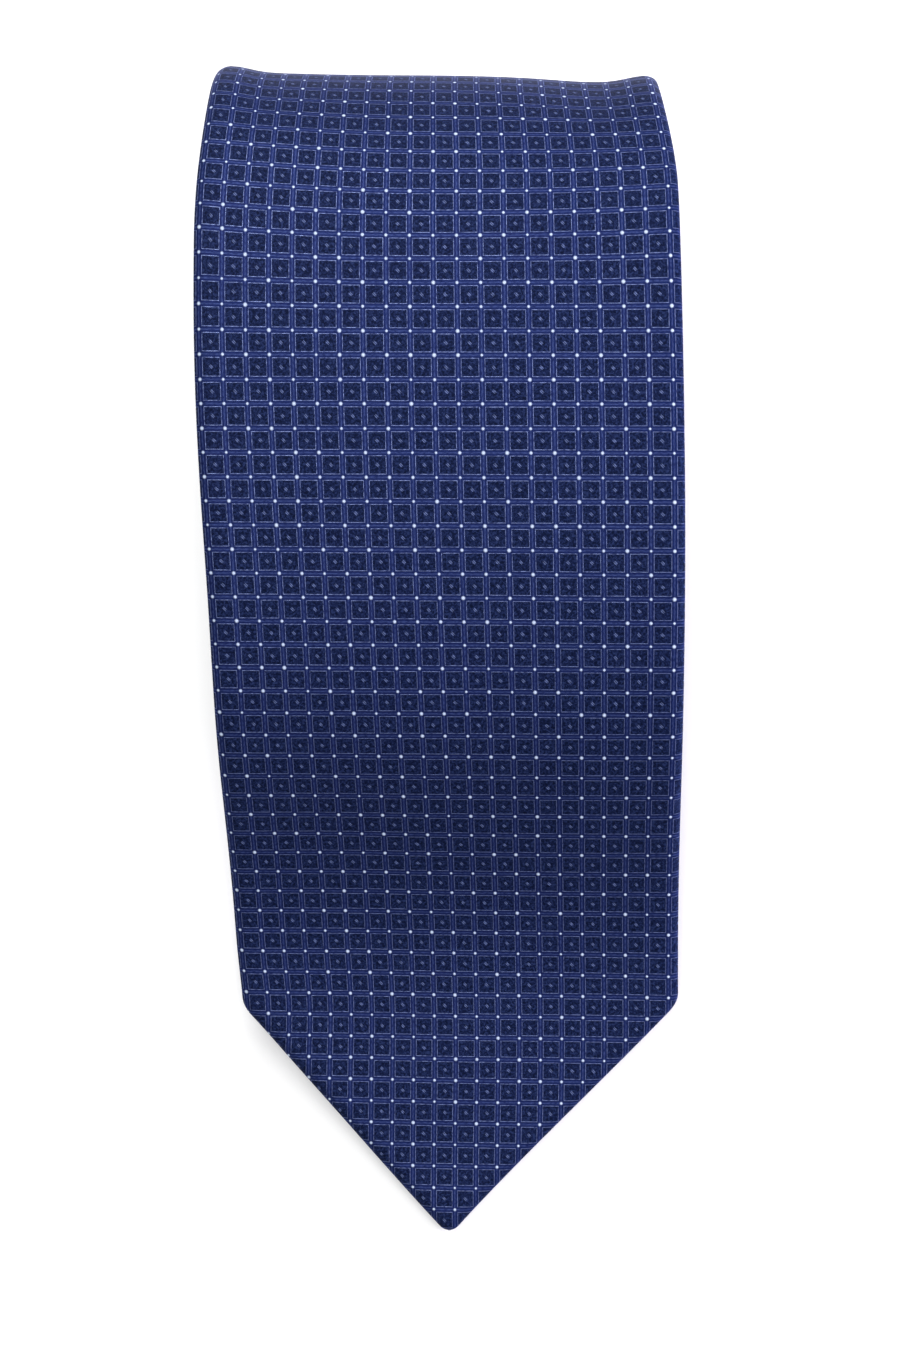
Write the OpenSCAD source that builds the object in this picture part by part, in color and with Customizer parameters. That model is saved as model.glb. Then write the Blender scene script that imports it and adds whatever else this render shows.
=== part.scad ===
// Necktie rolled up from its narrow end, with the blade laid out in front.
// Origin: middle of the flat underside, below the crest of the roll.
// +Z is up, X runs across the tie, and the tip of the blade points to -Y.
// A place on the tie is given by s, the distance from the tip of the blade along
// the cloth, x across it, and depth, measured down from the outer face.

/* [Tie] */
// Length of the tie from tip to tip
tie_length = 1480; // [1200:10:1800]
// Width of the blade across its corners
blade_w = 80; // [60:1:100]
// Length of the blade's point, from its corners to the tip
point_l = 42; // [34:1:54]
// Width of the neck, the narrowest stretch
neck_w = 32; // [24:1:42]
// Width of the tail across its corners
tail_w = 40; // [32:1:50]
// Length of the tail's point
tail_point_l = 22; // [16:1:28]

/* [Cloth] */
// Thickness of the silk
silk_t = 0.4; // [0.3:0.02:0.5]
// Thickness of the wool interlining
wool_t = 1.2; // [0.9:0.05:1.5]
// Thickness of the lining cloth behind the points
tipping_t = 0.3; // [0.2:0.02:0.36]
// Air left between two layers inside the tie
ease = 0.1; // [0.06:0.02:0.16]
// Width of the hem turned in round the points
hem_w = 8; // [5:0.5:11]
// Half the slot left where the two back edges meet
seam_slot = 0.3; // [0.2:0.02:0.4]

/* [Places along the tie] */
// Bar tack that ends the blade's back seam
bar_tack_s = 92; // [76:1:100]
// Lower edge of the woven label
label_s = 104; // [102:1:108]
// Lower edge of the keeper loop
keeper_s = 132; // [130:1:136]
// Lower edge of the care label
care_s = 151; // [150:1:153]
// Line across the blade about which its front part is lifted
lift_s = 176; // [172:1:184]
// End of the blade's full width
full_width_s = 250; // [230:5:300]
// Seam between the blade and the neck
neck_seam_s = 620; // [520:10:740]
// Seam between the neck and the tail
tail_seam_s = 940; // [860:10:1020]
// Bar tack that ends the tail's back seam, from the tail's tip
tail_tack_l = 52; // [44:1:62]

/* [Small pieces] */
// Length of the keeper loop across the blade
keeper_l = 50; // [40:1:60]
// Width of the keeper loop along the blade
keeper_w = 13; // [10:0.5:15]
// Height of the opening under the keeper loop
keeper_rise = 0.5; // [0.4:0.02:0.6]
// Length of the woven label across the blade
label_l = 46; // [38:1:56]
// Width of the woven label along the blade
label_w = 20; // [16:0.5:24]
// Width of the care label
care_w = 16; // [12:0.5:20]
// Length of the care label along the blade
care_l = 15; // [12:0.5:18]
// Thickness of both labels
label_t = 0.3; // [0.2:0.02:0.36]
// Thickness of the sewing thread
thread_t = 0.3; // [0.2:0.02:0.36]
// Length of a bar tack across the seam
tack_l = 8; // [6:0.5:10]

/* [Roll] */
// Air left between two turns of the roll
turn_gap = 0.65; // [0.5:0.05:0.9]
// Height of the hollow in the middle of the roll, at its crest
hollow_h = 12.6; // [12:0.2:16]
// How far the blade's tip reaches ahead of the roll's nose
blade_reach = 83; // [78:1:100]

/* [Hidden] */

silk_colour = [0.16, 0.20, 0.36];
wool_colour = [0.86, 0.84, 0.78];
tipping_colour = [0.10, 0.13, 0.27];
thread_colour = [0.13, 0.16, 0.32];
label_colour = [0.12, 0.14, 0.26];
care_colour = [0.90, 0.90, 0.92];

// ---- thicknesses through the tie ----
tie_t = 2 * silk_t + wool_t + 2 * ease;
wool_top = silk_t + ease;
back_top = tie_t - silk_t;
fold_w = 1.5 * silk_t;
edge_r = 0.3 * tie_t;
fit = 0.05;
tip_half_w = 1.3;

// ---- the roll's outline ----
pitch = tie_t + turn_gap;
// Room for the keeper and the labels between the blade and the turn below it
keeper_room = keeper_rise + 2 * silk_t;
// One turn of the roll, from the nose over the crest to the back and along the
// underside: [forward, height, and how far each grows with every turn outside it]
loop = [
    [48.5, 3.8, 1.55, 0],
    [39, 7.8, 1.4, 0.56],
    [19, hollow_h - 2.4, 0.6, 0.97],
    [0, hollow_h, 0, 1],
    [-18, hollow_h - 0.8, -0.2, 0.98],
    [-35, 10, -0.65, 0.87],
    [-46, 5.8, -1.05, 0.2],
    [-44, 0, -1, -1],
    [-22, 0, -1, -1],
    [0, 0, 0, -1],
    [20, 0, 0.9, -1],
    [40, 0, 1.5, -1]
];
loop_n = len(loop);
// Share of the keeper's room added to the first points of the outermost turn
lift_share = [0, 1, 1, 1, 1, 0.5];
// The blade ahead of the roll: [share of its reach ahead of the nose, share of the crest's height]
blade_run = [
    [1.16, -0.01], [1, 0], [0.84, 0.02], [0.69, 0.055], [0.53, 0.1],
    [0.37, 0.17], [0.22, 0.295], [0.07, 0.48]
];
steps_per_point = 3;

function turn_level(turns, j) = turns - floor(j / loop_n) + (j % loop_n == 0 ? 0.5 : 0);
function loop_point(turns, j) =
    let (p = loop[j % loop_n], level = turn_level(turns, j) * pitch)
    let (room = j < len(lift_share) ? lift_share[j] * keeper_room : 0)
    [p[0] + level * p[2], turns * pitch + p[1] + level * p[3] + room];
function run_point(turns, p) =
    let (nose = loop_point(turns, loop_n)[0], crest = loop_point(turns, 3)[1])
    [nose + p[0] * blade_reach, tie_t + p[1] * (crest - tie_t)];
function guide(turns) = concat(
    [for (p = blade_run) run_point(turns, p)],
    [for (j = [1 : (turns + 1) * loop_n]) loop_point(turns, j)]
);

// Uniform cubic B-spline through the guide points
function blend(u) = [
    pow(1 - u, 3) / 6, (3 * pow(u, 3) - 6 * u * u + 4) / 6,
    (-3 * pow(u, 3) + 3 * u * u + 3 * u + 1) / 6, pow(u, 3) / 6
];
function spline(g) = [
    for (i = [1 : len(g) - 3], k = [0 : steps_per_point - 1])
        let (b = blend(k / steps_per_point))
        b[0] * g[i - 1] + b[1] * g[i] + b[2] * g[i + 1] + b[3] * g[i + 2]
];
function running_length(p) = [
    for (i = 0, a = 0; i < len(p); i = i + 1, a = a + (i < len(p) ? norm(p[i] - p[i - 1]) : 0)) a
];
function last(list) = list[len(list) - 1];
function turns_for(length, turns = 2) =
    last(running_length(spline(guide(turns)))) >= length ? turns : turns_for(length, turns + 1);

turns = turns_for(tie_length);
path = spline(guide(turns));
knots = running_length(path);
knot_n = len(knots);
// Unit vector at each knot that points into the tie from its outer face
inward = [
    for (i = [0 : knot_n - 1])
        let (d = path[min(i + 1, knot_n - 1)] - path[max(i - 1, 0)])
        [d[1], -d[0]] / norm(d)
];
// Where a fold is tighter than the tie is thick, the cloth is pressed thinner
function bend_radius(i) =
    let (a = path[i] - path[i - 1], b = path[i + 1] - path[i])
    let (angle = acos(min(1, a * b / (norm(a) * norm(b)))))
    (norm(a) + norm(b)) / 2 / max(angle * PI / 180, 0.001);
press_at = [
    for (i = [0 : knot_n - 1])
        let (tightest = min([for (k = [i - 1 : i + 1]) bend_radius(min(max(k, 1), knot_n - 2))]))
        [knots[i], min(1, 0.8 * tightest / tie_t)]
];
flip = inward[round(knot_n / turns / 4)][1] > 0 ? -1 : 1;
forward_at = [for (i = [0 : knot_n - 1]) [knots[i], path[i][0]]];
height_at = [for (i = [0 : knot_n - 1]) [knots[i], path[i][1]]];
in_forward_at = [for (i = [0 : knot_n - 1]) [knots[i], flip * inward[i][0]]];
in_height_at = [for (i = [0 : knot_n - 1]) [knots[i], flip * inward[i][1]]];

// ---- widths along the tie ----
edge_angle = atan2(blade_w / 2, point_l);
tail_angle = atan2(tail_w / 2, tail_point_l);
hem_apex = hem_w / sin(edge_angle);
tail_hem_apex = hem_w / sin(tail_angle);
tail_corner_s = tie_length - tail_point_l;
tail_tack_s = tie_length - tail_tack_l;
neck_start_s = neck_seam_s + 0.4 * (tail_seam_s - neck_seam_s);
half_width_at = [
    [0, tip_half_w], [point_l, blade_w / 2], [full_width_s, blade_w / 2],
    [neck_start_s, neck_w / 2], [tail_seam_s, neck_w / 2],
    [tail_corner_s, tail_w / 2], [tie_length, tip_half_w]
];
// Half the window that the turned-in edges leave open on the back
window_at = [
    [0, seam_slot], [hem_apex, seam_slot],
    [point_l, (point_l - hem_apex) * tan(edge_angle)], [bar_tack_s, seam_slot],
    [tail_tack_s, seam_slot], [tail_corner_s, (tail_point_l - tail_hem_apex) * tan(tail_angle)],
    [tie_length - tail_hem_apex, seam_slot], [tie_length, seam_slot]
];
function half_width(s) = lookup(s, half_width_at);
function window(s) = lookup(s, window_at);

// ---- placing a cross-section on the rolled cloth ----
function spot(s, x, depth) =
    let (d = depth * lookup(s, press_at))
    [
        x,
        -(lookup(s, forward_at) + d * lookup(s, in_forward_at)),
        lookup(s, height_at) + d * lookup(s, in_height_at)
    ];
// Gap between the two ends of pieces that meet at a seam or at the line of lifting
seam_half = 0.15;
cut_half = 0.05;
// How far the interlining stays back from the tips, and the lining from its window's ends
tip_gap = 3;
end_gap = 1.5;
// Where the two interlinings meet
join_s = tail_seam_s - 60;
// Every place where a piece ends or its outline turns has a ring in all the pieces there
min_step = 0.8;
marks = [
    tip_gap, hem_apex, hem_apex + end_gap, point_l, bar_tack_s - end_gap, bar_tack_s,
    full_width_s, neck_start_s, join_s - seam_half, join_s + seam_half,
    tail_tack_s, tail_tack_s + end_gap, tail_corner_s,
    tie_length - tail_hem_apex - end_gap, tie_length - tail_hem_apex, tie_length - tip_gap
];
function is_clear(s, list) = len([for (m = list) if (abs(m - s) < min_step) 1]) == 0;
// Places of the rings of a piece that runs from a to b
function stations(a, b) =
    let (own = [for (m = marks) if (m > a + min_step && m < b - min_step) m])
    let (held = concat([a, b], own))
    let (free = [for (k = knots) if (k > a && k < b && is_clear(k, held)) k])
    sorted(concat(held, free));
function sorted(list) =
    len(list) < 2 ? list :
    let (pivot = list[floor(len(list) / 2)])
    concat(
        sorted([for (v = list) if (v < pivot) v]),
        [pivot],
        sorted([for (v = list) if (v > pivot) v])
    );

// Triangles that close a convex cross-section of m points
function fan(m) = [for (k = [1 : m - 2]) [0, k, k + 1]];
// A solid through one closed cross-section per station, closed by cap's triangles
module strip(places, sections, cap = fan(4)) {
    m = len(sections[0]);
    n = len(places);
    points = [for (i = [0 : n - 1], p = sections[i]) spot(places[i], p[0], p[1])];
    sides = [
        for (i = [0 : n - 2], k = [0 : m - 1])
            let (a = i * m + k, b = i * m + (k + 1) % m)
            each [[a, b, a + m], [b, b + m, a + m]]
    ];
    first_cap = [for (t = cap) [t[2], t[1], t[0]]];
    last_cap = [for (t = cap) [for (k = t) (n - 1) * m + k]];
    polyhedron(points, concat(first_cap, sides, last_cap));
}

// ---- cross-sections, as [x, depth] ----
// Silk folded round from the outer face to the back, with a slot or window there
function shell_section(s) =
    let (w = half_width(s), g = window(s), inner = w - fold_w)
    [
        [-(w - edge_r), 0], [w - edge_r, 0], [w, edge_r], [w, tie_t - edge_r],
        [w - edge_r, tie_t], [g, tie_t], [g, back_top], [inner, back_top],
        [inner, silk_t], [-inner, silk_t], [-inner, back_top], [-g, back_top],
        [-g, tie_t], [-(w - edge_r), tie_t], [-w, tie_t - edge_r], [-w, edge_r]
    ];
shell_cap = [
    [0, 1, 8], [0, 8, 9], [1, 2, 8], [2, 3, 8], [3, 7, 8], [3, 4, 7], [4, 5, 6], [4, 6, 7],
    [0, 9, 15], [9, 14, 15], [9, 10, 14], [10, 13, 14], [10, 11, 13], [11, 12, 13]
];
function slab_section(half_w, top, bottom) =
    [[-half_w, top], [half_w, top], [half_w, bottom], [-half_w, bottom]];

module shell(a, b) {
    places = stations(a, b);
    strip(places, [for (s = places) shell_section(s)], shell_cap);
}
module interlining(a, b) {
    places = stations(a, b);
    inset = fold_w + 3 * ease;
    strip(places, [
        for (s = places) slab_section(half_width(s) - inset, wool_top, wool_top + wool_t)
    ]);
}
// Lining cloth that fills the window behind a point, between s = a and s = b
module tipping(a, b) {
    places = stations(a, b);
    strip(places, [
        for (s = places) slab_section(window(s) - 2 * ease, back_top, back_top + tipping_t)
    ]);
}
// Flat piece on the back of the tie, lying over both turned-in edges
module back_patch(s, length, width, from_depth, thickness) {
    places = stations(s, s + length);
    strip(places, [
        for (k = places) slab_section(width / 2, from_depth, from_depth + thickness)
    ]);
}
// A stitch across an edge on the back: centre at s and x, turned by an angle
module stitch(s, x, length, angle, depth) {
    along = [sin(angle), cos(angle)] * length / 2;
    across = [cos(angle), -sin(angle)] * thread_t / 2;
    corners = [-along - across, -along + across, along + across, along - across];
    points = concat(
        [for (c = corners) spot(s + c[1], x + c[0], depth)],
        [for (c = corners) spot(s + c[1], x + c[0], depth + thread_t)]
    );
    polyhedron(points, [
        [0, 1, 2], [0, 2, 3], [6, 5, 4], [7, 6, 4], [1, 0, 4], [1, 4, 5],
        [2, 1, 5], [2, 5, 6], [3, 2, 6], [3, 6, 7], [0, 3, 7], [0, 7, 4]
    ]);
}
// Stitches that hold the turned-in edges to the lining, on both sides of a window that
// opens at apex, is widest at corner and closes at the tack
stitch_l = 2;
stitch_n = 9;
module window_stitches(apex, corner, tack, count) {
    way = sign(tack - apex);
    margin = 4;
    span = abs(tack - apex) - 2 * margin;
    for (side = [-1, 1], i = [0 : count - 1]) {
        s = apex + way * (margin + (i + 0.5) / count * span);
        on_hem = abs(s - apex) < abs(corner - apex);
        turn = side * way * (on_hem ? -45 : 90);
        stitch(s, side * (window(s) + 0.2), stitch_l, turn, tie_t + fit);
    }
}

// ---- silk envelope ----
module blade_front_shell() {
    color(silk_colour) shell(0, lift_s - cut_half);
}
module blade_rear_shell() {
    color(silk_colour) shell(lift_s + cut_half, neck_seam_s - seam_half);
}
module neck_shell() {
    color(silk_colour) shell(neck_seam_s + seam_half, tail_seam_s - seam_half);
}
module tail_shell() {
    color(silk_colour) shell(tail_seam_s + seam_half, tie_length);
}
// Machine seams that join two panels of the envelope
module panel_seam(s) {
    color(thread_colour) shell(s - seam_half + fit / 2, s + seam_half - fit / 2);
}
module blade_neck_seam() {
    panel_seam(neck_seam_s);
}
module neck_tail_seam() {
    panel_seam(tail_seam_s);
}

// ---- wool inside ----
module blade_front_interlining() {
    color(wool_colour) interlining(tip_gap, lift_s - cut_half);
}
module blade_rear_interlining() {
    color(wool_colour) interlining(lift_s + cut_half, join_s - seam_half);
}
module tail_interlining() {
    color(wool_colour) interlining(join_s + seam_half, tie_length - tip_gap);
}
module interlining_join() {
    color(thread_colour) interlining(join_s - seam_half + fit / 2, join_s + seam_half - fit / 2);
}

// ---- lining behind the points ----
module blade_tipping() {
    color(tipping_colour) tipping(hem_apex + end_gap, bar_tack_s - end_gap);
}
module tail_tipping() {
    color(tipping_colour) tipping(tail_tack_s + end_gap, tie_length - tail_hem_apex - end_gap);
}
module blade_tipping_stitches() {
    color(thread_colour) window_stitches(hem_apex, point_l, bar_tack_s, stitch_n);
}
module tail_tipping_stitches() {
    color(thread_colour)
        window_stitches(tie_length - tail_hem_apex, tail_corner_s, tail_tack_s, stitch_n - 3);
}

// ---- keeper loop and labels on the back of the blade ----
module keeper_loop() {
    foot = 3;
    cloth = 2 * silk_t;
    low = tie_t + fit;
    high = low + keeper_rise;
    places = stations(keeper_s, keeper_s + keeper_w);
    half = keeper_l / 2;
    arch = [
        [-half, low], [-half + foot, low], [-half + 2 * foot, high], [half - 2 * foot, high],
        [half - foot, low], [half, low], [half, low + cloth], [half - foot, low + cloth],
        [half - 2 * foot, high + cloth], [-half + 2 * foot, high + cloth],
        [-half + foot, low + cloth], [-half, low + cloth]
    ];
    arch_cap = [for (k = [0 : 4]) each [[k, k + 1, 10 - k], [k, 10 - k, 11 - k]]];
    color(silk_colour) strip(places, [for (s = places) arch], arch_cap);
}
module keeper_tacks() {
    for (side = [-1, 1])
        color(thread_colour) stitch(
            keeper_s + keeper_w / 2, side * (keeper_l / 2 + thread_t), keeper_w * 0.6, 0, tie_t + fit
        );
}
module woven_label() {
    color(label_colour) back_patch(label_s, label_w, label_l, tie_t + fit, label_t);
}
module label_stitches() {
    for (side = [-1, 1], row = [0.25, 0.75])
        color(thread_colour) stitch(
            label_s + row * label_w, side * (label_l / 2 - 1), stitch_l, 0, tie_t + 2 * fit + label_t
        );
}
module care_label() {
    color(care_colour) back_patch(care_s, care_l, care_w, tie_t + fit, label_t);
}

// ---- hand sewing on the back ----
tack_w = 1.4;
module bar_tack(s) {
    color(thread_colour) back_patch(s - tack_w / 2, tack_w, tack_l, tie_t + fit, 2 * thread_t);
}
module blade_bar_tack() {
    bar_tack(bar_tack_s);
}
module tail_bar_tack() {
    bar_tack(tail_tack_s);
}
// Thread that runs in the slot between the two turned-in edges
module slip_stitch(a, b) {
    places = stations(a, b);
    color(thread_colour) strip(places, [
        for (s = places) slab_section(thread_t / 2, back_top + fit, back_top + fit + thread_t)
    ]);
}
module slip_stitch_front() {
    slip_stitch(bar_tack_s, lift_s - cut_half);
}
module slip_stitch_rear() {
    slip_stitch(lift_s + cut_half, tail_tack_s);
}

blade_front_shell();
blade_rear_shell();
neck_shell();
tail_shell();
blade_front_interlining();
blade_rear_interlining();
tail_interlining();
blade_tipping();
tail_tipping();
blade_tipping_stitches();
tail_tipping_stitches();
keeper_loop();
keeper_tacks();
woven_label();
label_stitches();
care_label();
blade_bar_tack();
tail_bar_tack();
slip_stitch_front();
slip_stitch_rear();
blade_neck_seam();
neck_tail_seam();
interlining_join();
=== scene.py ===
# %% [markdown]
# # A silk necktie, rolled up from its narrow end
#
# The tie is one long flat tube of silk, folded round a strip of wool and sewn shut
# along the middle of its back. It has been rolled up from the narrow end, and its wide
# blade comes over the top of the roll and slopes down to the table in front.
#
# Everything below is placed by three numbers: s, the distance along the cloth from the
# tip of the blade, x, the distance across it, and depth, measured down from the outer
# face. They are in millimetres, as a tie maker would measure, and become metres only
# when a point is placed in the scene.

# %% Load the frame
import math
import bpy
import bmesh
import numpy as np
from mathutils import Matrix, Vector


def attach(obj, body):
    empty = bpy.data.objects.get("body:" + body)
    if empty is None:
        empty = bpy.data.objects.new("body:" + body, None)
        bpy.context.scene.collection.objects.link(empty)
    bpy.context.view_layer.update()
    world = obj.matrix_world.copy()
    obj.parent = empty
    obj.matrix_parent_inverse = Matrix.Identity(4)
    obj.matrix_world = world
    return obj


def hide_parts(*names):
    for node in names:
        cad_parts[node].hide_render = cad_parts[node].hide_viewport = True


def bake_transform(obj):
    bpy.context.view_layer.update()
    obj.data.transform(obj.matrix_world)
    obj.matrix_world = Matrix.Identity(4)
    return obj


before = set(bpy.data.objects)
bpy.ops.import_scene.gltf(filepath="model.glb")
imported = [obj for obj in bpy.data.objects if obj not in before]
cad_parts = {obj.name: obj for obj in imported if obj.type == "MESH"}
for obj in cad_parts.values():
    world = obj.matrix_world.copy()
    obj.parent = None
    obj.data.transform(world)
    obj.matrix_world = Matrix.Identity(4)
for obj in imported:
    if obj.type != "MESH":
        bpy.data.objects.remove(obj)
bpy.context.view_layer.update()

MM = 0.001
scene = bpy.context.scene
print("nodes in the frame:", len(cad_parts))

# %% [markdown]
# ## Camera
#
# The camera looks almost straight down on the blade from about a forearm's length away.
# That close, the top of the roll looks wider than the point on the table. A tie seen
# from further off would have parallel sides, so the distance is as much a part of the
# look as the lens.

# %% Camera
camera_data = bpy.data.cameras.new("camera")
camera = bpy.data.objects.new("camera", camera_data)
scene.collection.objects.link(camera)
camera_data.lens = 48.42
camera_data.sensor_width = 36
camera_data.clip_start = 0.01
camera.location = (0.01456, -0.06335, 0.33874)
camera.rotation_euler = [math.radians(a) for a in (2.358, 2.628, -0.867)]
scene.camera = camera
print("camera height above the table:", round(camera.location.z, 3), "m")

# %% [markdown]
# ## Table and light
#
# The table is a plain white sheet. Most of the light comes from a wide sun-like light
# overhead, which casts soft shadows. A light behind the roll brightens the cloth where
# it turns away over the top, so the slope in front looks darker. A low violet light at
# the right catches the folded edge. Reflections don't show it, because its glare would
# turn the silk's side white. The surround is white to the camera but sheds little light,
# which keeps the shadows on the table faint.

# %% Table
bpy.ops.object.select_all(action="DESELECT")
bpy.ops.mesh.primitive_plane_add(size=6, location=(0, 0, -0.00005))
table = bpy.context.active_object
table.name = "table"
bpy.ops.object.transform_apply(location=True)


def linear(r, g, b):
    """A colour given as 0-255 screen values, as the linear colour that Blender uses."""
    parts = [v / 255 for v in (r, g, b)]
    return tuple(p / 12.92 if p <= 0.04045 else ((p + 0.055) / 1.055) ** 2.4 for p in parts) + (1,)


def new_material(name):
    material = bpy.data.materials.new(name)
    material.use_nodes = True
    return material, material.node_tree, material.node_tree.nodes["Principled BSDF"]


def plug(value, socket):
    """Gives a socket a plain value, or links another node's output to it."""
    if isinstance(value, (int, float, tuple)):
        socket.default_value = value
    else:
        socket.id_data.links.new(value, socket)


def set_inputs(node, values):
    for name, value in values.items():
        plug(value, node.inputs[name])


table_paint, tree, shader = new_material("white_table")
set_inputs(shader, {"Base Color": (0.78, 0.78, 0.78, 1), "Roughness": 0.9, "Specular IOR Level": 0.1})
table.data.materials.append(table_paint)
print("table is", round(table.dimensions.x, 1), "m wide")


# %% Lights
def aimed_light(name, kind, place, target, power, colour=(1, 1, 1)):
    """A light of the given kind at place, turned towards target."""
    data = bpy.data.lights.new(name, kind)
    data.energy, data.color = power, colour
    light = bpy.data.objects.new(name, data)
    scene.collection.objects.link(light)
    light.location = place
    direction = Vector((np.array(target) - np.array(place)).tolist())
    light.rotation_euler = direction.to_track_quat("-Z", "Y").to_euler()
    return light


back_light = aimed_light("back_light", "AREA", (-0.1, 0.48, 0.5), (0, 0, 0.03), 4.4)
back_light.data.size = 0.4
overhead_light = aimed_light("overhead_light", "SUN", (-0.03, -0.02, 0.8), (0, 0, 0), 2.25)
overhead_light.data.angle = math.radians(45)
right_light = aimed_light("right_light", "AREA", (0.5, 0, 0.09), (0, -0.04, 0.03), 8, (0.9, 0.84, 1))
right_light.data.size = 0.25
right_light.visible_glossy = False

world = bpy.data.worlds.new("white_surround")
scene.world = world
world.use_nodes = True
surround = world.node_tree.nodes["Background"]
surround.inputs["Color"].default_value = (1, 1, 1, 1)
seen = world.node_tree.nodes.new("ShaderNodeLightPath")
strength = world.node_tree.nodes.new("ShaderNodeMapRange")
strength.inputs["To Min"].default_value = 0.22
world.node_tree.links.new(seen.outputs["Is Camera Ray"], strength.inputs["Value"])
world.node_tree.links.new(strength.outputs[0], surround.inputs["Strength"])
scene.view_settings.view_transform = "Standard"

# %% [markdown]
# ## The line of the rolled cloth
#
# Seen from the side, the tie is one curve: up from the table, over the crest, and then
# round and round towards the middle. A B-spline through guide points draws it. One turn
# of guide points is written down, and each turn inside it is the same list moved inwards
# by the thickness of the tie. Every piece below is laid on this one curve, so the layers
# stay in step all the way to the middle.

# %% Measures of the tie, in millimetres
TIE_LENGTH = 1480
POINT, TAIL_POINT = 42, 22  # length of the two points
BLADE_HALF, NECK_HALF, TAIL_HALF = 40, 16, 20  # half widths
SPLIT_S, NECK_SEAM_S, TAIL_SEAM_S = 262, 620, 940  # where the panels of the envelope end
SILK, WOOL, EASE = 0.4, 1.2, 0.1
THICK = 2 * SILK + WOOL + 2 * EASE
PITCH = THICK + 0.65  # from one turn of the roll to the next
KEEPER_ROOM = 0.5 + 2 * SILK  # room for the keeper loop under the outer turn
HOLLOW = 12.6  # height of the hollow in the middle
REACH = 83  # how far the blade runs out in front of the roll
TURNS = 5
# forward, height, and how far each grows with every turn that lies inside it
ONE_TURN = [
    (48.5, 3.8, 1.55, 0), (39, 7.8, 1.4, 0.56), (19, HOLLOW - 2.4, 0.6, 0.97),
    (0, HOLLOW, 0, 1), (-18, HOLLOW - 0.8, -0.2, 0.98), (-35, 10, -0.65, 0.87),
    (-46, 5.8, -1.05, 0.2), (-44, 0, -1, -1), (-22, 0, -1, -1),
    (0, 0, 0, -1), (20, 0, 0.9, -1), (40, 0, 1.5, -1),
]
# how much of the keeper's room each of the first guide points is lifted by
LIFT_SHARE = [0, 1, 1, 1, 1, 0.5]
# the blade in front: share of its reach, and share of the crest's height
BLADE_RUN = [
    (1.16, -0.01), (1, 0), (0.84, 0.02), (0.69, 0.055), (0.53, 0.1),
    (0.37, 0.17), (0.22, 0.295), (0.07, 0.48),
]


def turn_point(j):
    """Forward and up of guide point j, counted inwards from the outermost turn."""
    turn, k = divmod(j, len(ONE_TURN))
    forward, up, grow_forward, grow_up = ONE_TURN[k]
    level = (TURNS - turn + (0.5 if k == 0 else 0)) * PITCH
    room = LIFT_SHARE[j] * KEEPER_ROOM if j < len(LIFT_SHARE) else 0
    return forward + level * grow_forward, TURNS * PITCH + up + level * grow_up + room


def guide_points():
    nose, crest = turn_point(len(ONE_TURN))[0], turn_point(3)[1]
    run = [(nose + a * REACH, THICK + b * (crest - THICK)) for a, b in BLADE_RUN]
    return np.array(run + [turn_point(j) for j in range(1, (TURNS + 1) * len(ONE_TURN) + 1)])


# %% Curve through the guide points
def spline(guide, steps, slope=False):
    """Points of a uniform cubic B-spline, or its direction at the same places."""
    out = []
    for i in range(1, len(guide) - 2):
        for k in range(steps):
            u = k / steps
            if slope:
                mix = (-(1 - u) ** 2 / 2, (3 * u * u - 4 * u) / 2,
                       (-3 * u * u + 2 * u + 1) / 2, u * u / 2)
            else:
                mix = ((1 - u) ** 3 / 6, (3 * u**3 - 6 * u * u + 4) / 6,
                       (-3 * u**3 + 3 * u * u + 3 * u + 1) / 6, u**3 / 6)
            out.append(np.array(mix) @ guide[i - 1:i + 3])
    return np.array(out)


STEPS, FINE = 3, 24  # points for each guide point: to measure along, and to draw
guide = guide_points()
knots = spline(guide, STEPS)
knot_s = np.concatenate([[0], np.cumsum(np.linalg.norm(np.diff(knots, axis=0), axis=1))])
line = spline(guide, FINE)
heading = spline(guide, FINE, slope=True)
heading /= np.linalg.norm(heading, axis=1)[:, None]
line_s = np.interp(np.arange(len(line)) * STEPS / FINE, np.arange(len(knot_s)), knot_s)
inward = np.stack([-heading[:, 1], heading[:, 0]], axis=1)


def bend_radii(points):
    """How tightly the curve turns at each of its points."""
    a, b = points[1:-1] - points[:-2], points[2:] - points[1:-1]
    la, lb = np.linalg.norm(a, axis=1), np.linalg.norm(b, axis=1)
    angle = np.arccos(np.minimum(1, (a * b).sum(axis=1) / (la * lb)))
    radii = (la + lb) / 2 / np.maximum(angle, 2e-5)
    return np.concatenate([radii[:1], radii, radii[-1:]])


# where a fold is tighter than the tie is thick, the cloth is pressed thinner
radii = bend_radii(knots)
before, after = np.append(radii[0], radii[:-1]), np.append(radii[1:], radii[-1])
tightest = np.minimum(radii, np.minimum(before, after))
press = np.minimum(1, 0.8 * tightest / THICK)
print("length of the curve:", round(float(knot_s[-1])), "mm for a tie of", TIE_LENGTH)
print("pressed to", round(float(press.min()), 2), "of its thickness in the tightest fold")


def smooth_step(v):
    v = np.clip(v, 0, 1)
    return v * v * (3 - 2 * v)


def hump(v, middle, spread):
    return np.exp(-((v - middle) / spread) ** 2)


# %% [markdown]
# A real roll is never true. The cloth lies a little askew, the far shoulder has sunk
# between its two stiff folded edges, the turns have slipped sideways by a millimetre
# and the point has been pulled to one side. All of that is put into the one function
# that places a point, so that silk, wool and stitches shift together.

# %% Placing a point of the cloth
def off_grain(s):
    """How far the point is cut to one side of the check's own line."""
    return -2.4 * smooth_step(1 - s / POINT)


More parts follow.
